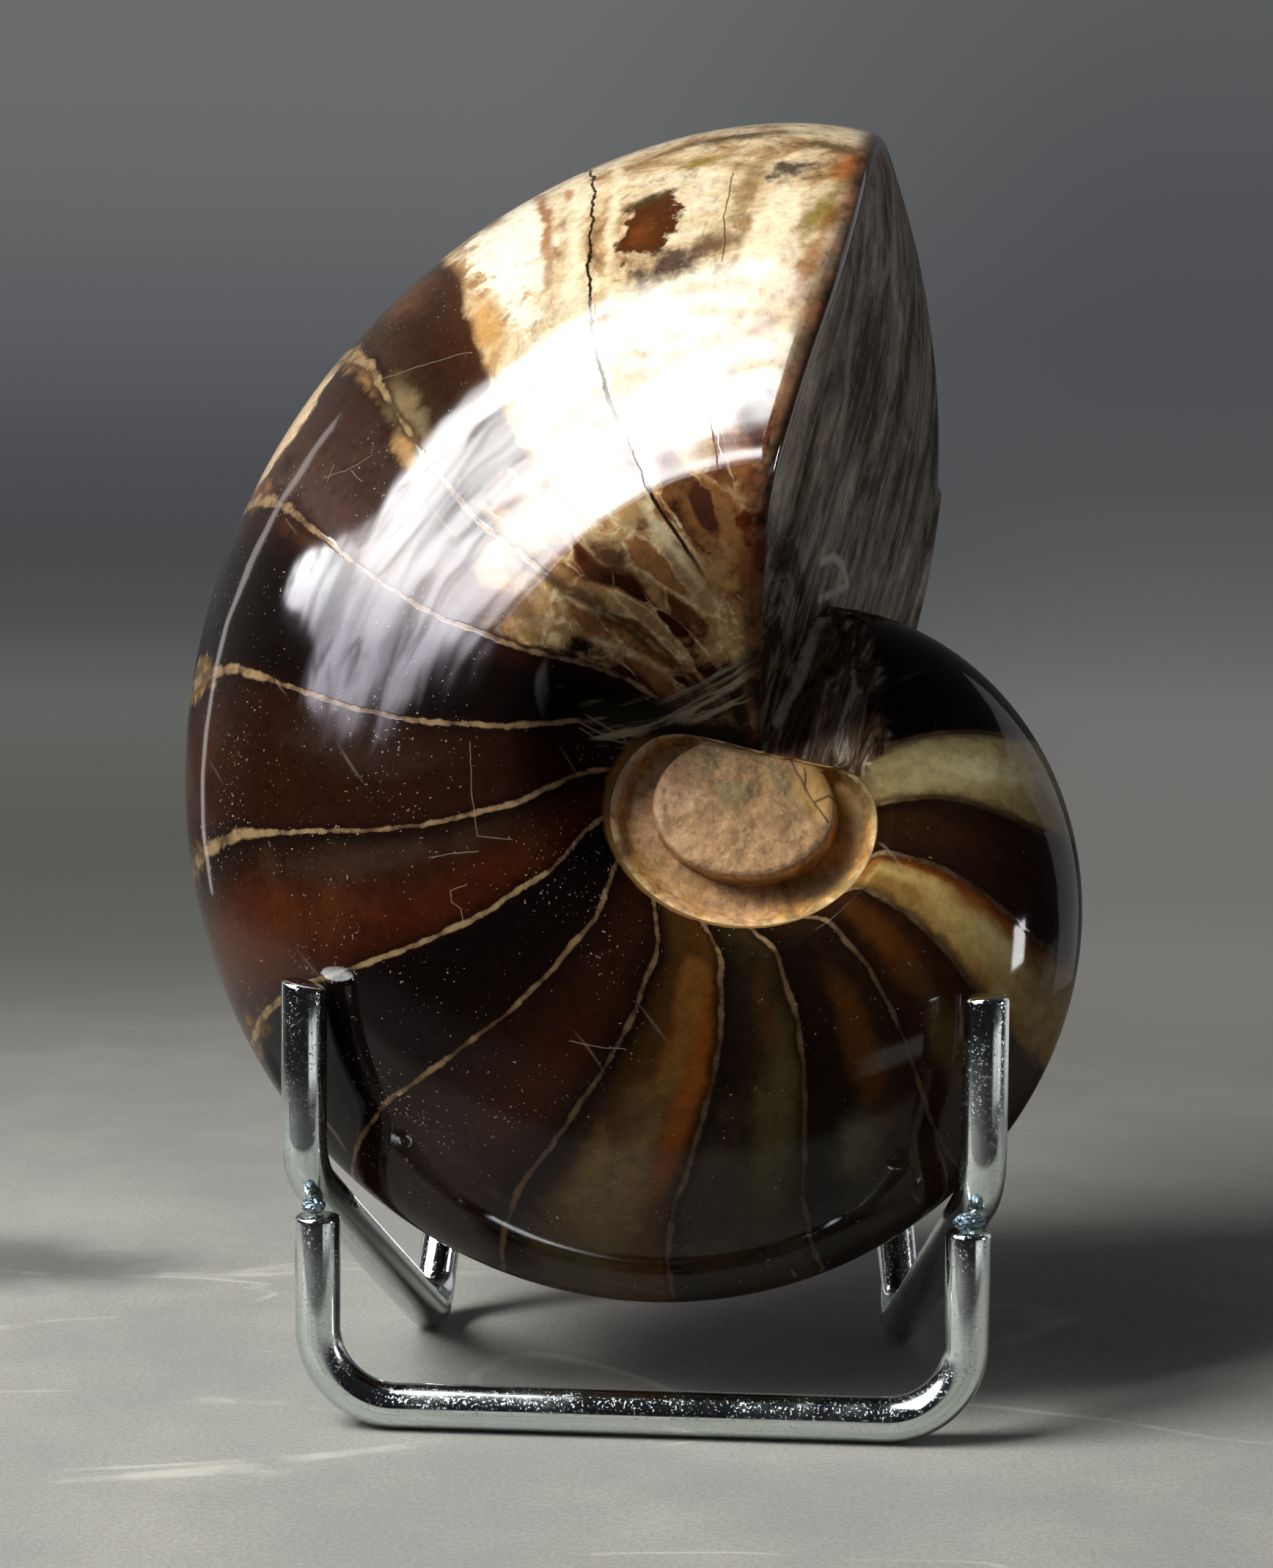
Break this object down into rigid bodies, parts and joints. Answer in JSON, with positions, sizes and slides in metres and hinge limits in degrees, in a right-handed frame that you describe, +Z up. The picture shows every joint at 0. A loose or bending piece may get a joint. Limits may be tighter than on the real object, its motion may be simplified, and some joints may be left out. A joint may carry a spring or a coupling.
{
  "type": "polished nautilus fossil on wire stand",
  "caption": "Whole polished nautilus fossil with visible suture lines and a ground aperture face, leaning on a bent-wire easel stand.",
  "frame": {"origin": "under the middle of the whole part, on the surface it stands on", "axes": "+Z up, the fossil's shown flank and the stand's hooks face -Y, +X to the viewer's right"},
  "size_m": [0.085, 0.0704, 0.1184],
  "materials": {
    "polished_fossil": "polished calcite and matrix, dark brown chambers with tan suture lines",
    "plated_wire": "bright zinc plate with fine pitting",
    "weld_metal": "small heat-tinted weld bead"
  },
  "bodies": {
    "root": {"fossil": "polished_fossil", "easel_wire": "plated_wire", "foot_wire": "plated_wire", "weld_left": "weld_metal", "weld_right": "weld_metal"}
  },
  "joints": []
}
